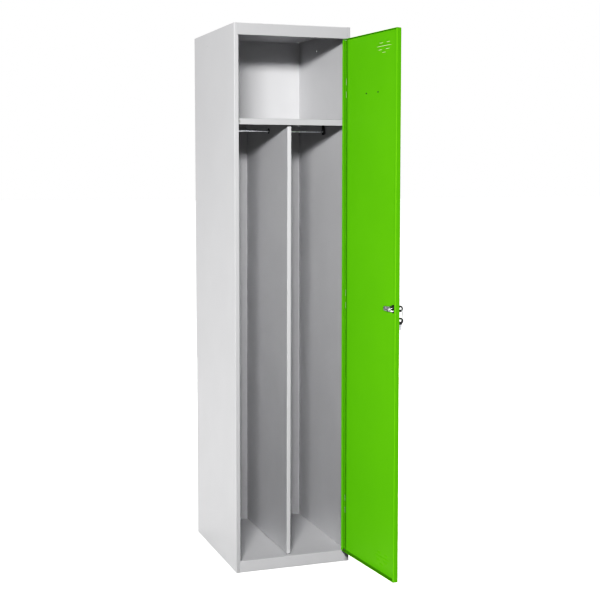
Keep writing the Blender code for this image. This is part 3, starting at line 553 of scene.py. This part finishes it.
def key_head(prefix, place, body):
    """A moulded bow: a raised rim round the eye and the outline, and a dished grip between them."""
    turns = turns_of(BOW_SIDES)
    outline = [bow_reach(turn) for turn in turns]
    smooth = []
    for i in range(BOW_SIDES):
        near = [outline[(i + k) % BOW_SIDES] for k in (-1, 0, 1)]
        smooth.append(min(near[1], sum(near) / 3))
    heights = [(share, height * BOW_HALF) for share, height in BOW_PROFILE]
    heights += [(share, -height) for share, height in reversed(heights)]
    skin = []
    for share, height in heights:
        line = []
        for turn, edge in zip(turns, smooth):
            reach = EYE_RADIUS + (edge - EYE_RADIUS) * share
            line.append((EYE[0] + reach * math.cos(turn), height,
                         EYE[1] + reach * math.sin(turn)))
        skin.append(line)
    name = prefix + "key_head_look"
    mesh = grid_mesh(name, skin, place, 50)
    link_piece(name, mesh, body, "dark_plastic", [prefix + "key_head"])


def blade_outline():
    """The blade seen from its side: the four cuts along one edge, then the chamfered tip."""
    edge = -BLADE_HALF
    outline = [(BLADE_START, edge)]
    for n, depth in enumerate(BITE_DEPTHS):
        middle = BITE_START + n * BITE_PITCH
        outline += [(middle - BITE_MOUTH, edge), (middle - BITE_FLOOR, edge + depth),
                    (middle + BITE_FLOOR, edge + depth), (middle + BITE_MOUTH, edge)]
    return outline + [(BLADE_END - TIP_LENGTH, edge), (BLADE_END, TIP_LOW), (BLADE_END, TIP_HIGH),
                      (BLADE_END - TIP_LENGTH, BLADE_HALF), (BLADE_START, BLADE_HALF)]


def key_blade(prefix, place, body):
    """A flat blade with four cuts, a milled groove down each side and a chamfered tip."""
    outline = blade_outline()
    shape = bmesh.new()
    near, far = ([shape.verts.new(place @ Vector((x, y, z))) for x, z in outline]
                 for y in (-KEY_HALF, KEY_HALF))
    shape.faces.new(near)
    shape.faces.new(far)
    for i in range(len(outline)):
        j = (i + 1) % len(outline)
        shape.faces.new((near[i], near[j], far[j], far[i]))
    bmesh.ops.recalc_face_normals(shape, faces=shape.faces)
    name = prefix + "key_blade_look"
    mesh = bpy.data.meshes.new(name)
    shape.to_mesh(mesh)
    shape.free()
    piece = link_piece(name, mesh, body, "zinc_steel", [prefix + "key_blade"])
    for tag, side, middle in GROOVES:
        middle_at = Vector((BLADE_START + GROOVE_MIDDLE, side * KEY_HALF, middle))
        mill(piece, "groove_" + tag, place @ Matrix.Translation(middle_at))
    round_edges(piece, BLADE_EDGE, BLADE_ANGLE)


def mill(piece, name, place):
    """Cuts a straight groove out of a blade for good."""
    groove = bpy.data.meshes.new(piece.name + "_" + name)
    tool = bmesh.new()
    bmesh.ops.create_cube(tool, size=1.0)
    tool.transform(place @ Matrix.Diagonal((*GROOVE_SIZE, 1.0)))
    tool.to_mesh(groove)
    tool.free()
    cutter = bpy.data.objects.new(groove.name, groove)
    bpy.context.scene.collection.objects.link(cutter)
    change = piece.modifiers.new(name, "BOOLEAN")
    change.operation = "DIFFERENCE"
    change.solver = "EXACT"
    change.object = cutter
    with bpy.context.temp_override(object=piece, active_object=piece, selected_objects=[piece]):
        bpy.ops.object.modifier_apply(modifier=change.name)
    bpy.data.objects.remove(cutter)


def eased(number, power):
    """The number's power with its sign kept, which squares off a round section."""
    return math.copysign(abs(number) ** power, number)


def key_ring(centre, axis):
    """A split ring: two turns of flattened wire side by side, with a crossing where they swap."""
    up = Vector((0, 0, 1))
    other = axis.cross(up)
    rows = []
    for i in range(RING_STEPS + 1):
        share = i / RING_STEPS
        angle = math.tau * RING_TURNS * share + RING_START
        swap = max(0.0, min(1.0, (share - SWAP_START) / SWAP_LENGTH))
        swap = swap * swap * (3 - 2 * swap)
        radial = up * math.cos(angle) + other * math.sin(angle)
        middle = centre + radial * RING_RADIUS + axis * ((swap - 0.5) * RING_WIRE)
        taper = min(1.0, TIP_SHARE + TIP_GROWTH * min(share, 1 - share))
        line = []
        for k in range(RING_SECTION):
            roll = math.tau * (k + 0.5) / RING_SECTION
            flat = RING_WIRE / 2 * eased(math.sin(roll), 0.5) * WIRE_FLATNESS
            tall = RING_WIRE * eased(math.cos(roll), 0.6) * taper
            line.append(middle + axis * flat + radial * tall)
        rows.append(line)
    mesh = grid_mesh("key_ring_look", rows, Matrix.Identity(4), 60, closed_rows=False)
    link_piece("key_ring_look", mesh, "ring", "zinc_steel", ["key_ring"])


# The door's own lights are strong, so its green isn't thrown onto the greys round it
for piece in DOOR_SHEETS:
    bpy.data.objects[piece].visible_diffuse = False
lock_barrel()
lock_nut()
key_place, spare_place = key_places()
for prefix, place, body in (("", key_place, "lock_core"), ("spare_", spare_place, "spare_key")):
    key_head(prefix, place, body)
    key_blade(prefix, place, body)
ring_low, ring_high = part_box("key_ring")
key_ring((ring_low + ring_high) / 2, lock_axis)


# Stage, light and camera
def flat_sheet(name, corners):
    mesh = bpy.data.meshes.new(name)
    mesh.from_pydata(corners, [], [(0, 1, 2, 3)])
    made = bpy.data.objects.new(name, mesh)
    bpy.context.scene.collection.objects.link(made)
    return made


def floor():
    """A white floor, lit by a wide sun of its own."""
    reach = FLOOR_REACH
    made = flat_sheet("studio_floor", [(-reach, -reach, FLOOR_Z), (reach, -reach, FLOOR_Z),
                                       (reach, reach, FLOOR_Z), (-reach, reach, FLOOR_Z)])
    look = Recipe("studio_floor_look")
    look.set(Specular_IOR_Level=0.1)
    tone = look.span(look.noise(scale=1.5), 0.3, 0.7)
    finish = look.finish(look.mix(tone, (0.93, 0.93, 0.93), (0.95, 0.95, 0.95)),
                         look.span(look.noise(scale=30.0), 0.3, 0.7, to=(0.80, 0.90)))
    made.data.materials.append(finish)
    made.visible_diffuse = False
    lit = bpy.data.collections.new("floor_only")
    lit.objects.link(made)
    data = bpy.data.lights.new("floor_sun", "SUN")
    data.energy = FLOOR_SUN
    data.angle = SUN_SPREAD
    sun = bpy.data.objects.new("floor_sun", data)
    bpy.context.scene.collection.objects.link(sun)
    sun.rotation_euler = SUN_TURN
    sun.light_linking.receiver_collection = lit
    return finish


def flag(finish):
    """A narrow card that only keeps the inner lights off the face of the right upright."""
    left, right, low, high = FLAG_EDGES
    made = flat_sheet("flag", [(left, FLAG_Y, low), (right, FLAG_Y, low), (right, FLAG_Y, high),
                               (left, FLAG_Y, high)])
    made.data.materials.append(finish)
    made.visible_camera = made.visible_diffuse = False
    made.visible_glossy = made.visible_transmission = False


def area_light(name, place, target, size, power, only=(), but=()):
    data = bpy.data.lights.new(name, "AREA")
    data.shape = "RECTANGLE"
    data.size, data.size_y = size
    hang_light(data, place, target, power, only, but)


def spot_light(name, place, target, cone, power, only):
    data = bpy.data.lights.new(name, "SPOT")
    data.spot_size = math.radians(cone)
    data.spot_blend = 1.0
    data.shadow_soft_size = SPOT_SOFTNESS
    hang_light(data, place, target, power, only)


def hang_light(data, place, target, power, only, but=()):
    """Puts a light in place, aimed at the target. It reaches only some pieces, or all but some."""
    name = data.name
    data.energy = power
    made = bpy.data.objects.new(name, data)
    bpy.context.scene.collection.objects.link(made)
    made.location = place
    made.rotation_euler = (Vector(target) - Vector(place)).to_track_quat("-Z", "Y").to_euler()
    made.visible_camera = False
    made.visible_glossy = name not in UNREFLECTED_LIGHTS
    if only or but:
        made.light_linking.receiver_collection = linked(name + "_pieces", only or but,
                                                        "INCLUDE" if only else "EXCLUDE")
    if name not in FLAGGED_LIGHTS:
        made.light_linking.blocker_collection = linked(name + "_unflagged", ("flag",), "EXCLUDE")


def linked(name, pieces, state):
    """A collection of pieces that a light keeps to, or leaves out."""
    made = bpy.data.collections.new(name)
    for piece in pieces:
        made.objects.link(bpy.data.objects[piece])
    for entry in made.collection_objects:
        entry.light_linking.link_state = state
    return made


def world():
    """White backdrop for the camera, and a weaker even light for everything else."""
    made = bpy.data.worlds.new("studio_world")
    bpy.context.scene.world = made
    made.use_nodes = True
    tree = made.node_tree
    tree.nodes.clear()
    out = tree.nodes.new("ShaderNodeOutputWorld")
    mix = tree.nodes.new("ShaderNodeMixShader")
    path = tree.nodes.new("ShaderNodeLightPath")
    tree.links.new(path.outputs["Is Camera Ray"], mix.inputs["Fac"])
    for slot, strength in ((1, WORLD_FILL), (2, BACKDROP)):
        light = tree.nodes.new("ShaderNodeBackground")
        light.inputs["Color"].default_value = (1, 1, 1, 1)
        light.inputs["Strength"].default_value = strength
        tree.links.new(light.outputs[0], mix.inputs[slot])
    tree.links.new(mix.outputs[0], out.inputs["Surface"])


def grade():
    """Plain display colours with a little more contrast in the shadows."""
    view = bpy.context.scene.view_settings
    view.view_transform = "Standard"
    view.use_curve_mapping = True
    curve = view.curve_mapping.curves[COMBINED_CURVE]
    for dark, shown in GRADE:
        curve.points.new(dark, shown)
    view.curve_mapping.update()


def camera():
    data = bpy.data.cameras.new("camera")
    data.sensor_width = SENSOR
    data.lens = FOCAL_LENGTH
    data.shift_x, data.shift_y = SHIFT
    data.clip_end = CAMERA_REACH
    made = bpy.data.objects.new("camera", data)
    bpy.context.scene.collection.objects.link(made)
    made.location = CAMERA_PLACE
    made.rotation_euler = (math.pi / 2 + CAMERA_PITCH, 0.0, -CAMERA_YAW)
    bpy.context.scene.camera = made


flag(floor())
world()
area_light("key", **KEY_LIGHT, power=90.0, but=DOOR_SHEETS + ("hanging_rail_look",))
area_light("trim", place=(0.6, -3.6, 1.0), target=(0.0, 0.0, 1.0), size=(0.8, 0.8), power=12.0,
           only=("left_side_panel_look", "hat_shelf_look"))
area_light("door_left", place=(-4.5, -1.6, 1.3), target=DOOR_TARGET, size=(1.2, 1.2),
           power=130.0, only=DOOR_SHEETS)
area_light("door_front", place=(-1.3, -3.6, 1.3), target=DOOR_TARGET, size=(0.8, 0.8),
           power=126.0, only=DOOR_SHEETS)
area_light("inner_key", **KEY_LIGHT, power=38.0, only=INNER_SHEETS)
spot_light("upper_key", place=(-1.26, -2.9, 2.05), target=(0.2, 0.42, 1.62), cone=7.5,
           power=230.0, only=("right_side_panel_look",))
area_light("left_box", place=(-4.0, 0.5, 1.25), target=(-0.2, 0.5, 0.95), size=(2.0, 3.0),
           power=109.0, but=DOOR_SHEETS)
area_light("right_box", place=(4.2, 0.9, 1.2), target=(0.2, 0.6, 0.9), size=(1.8, 3.0), power=62.0)
area_light("back_box", place=(1.4, 4.4, 1.4), target=(0.2, 0.5, 0.9), size=(1.6, 2.5), power=110.0)
area_light("top_box", place=(1.4, 0.9, 4.4), target=(0.2, 0.4, 1.8), size=(1.6, 1.6), power=90.0)
camera()
grade()
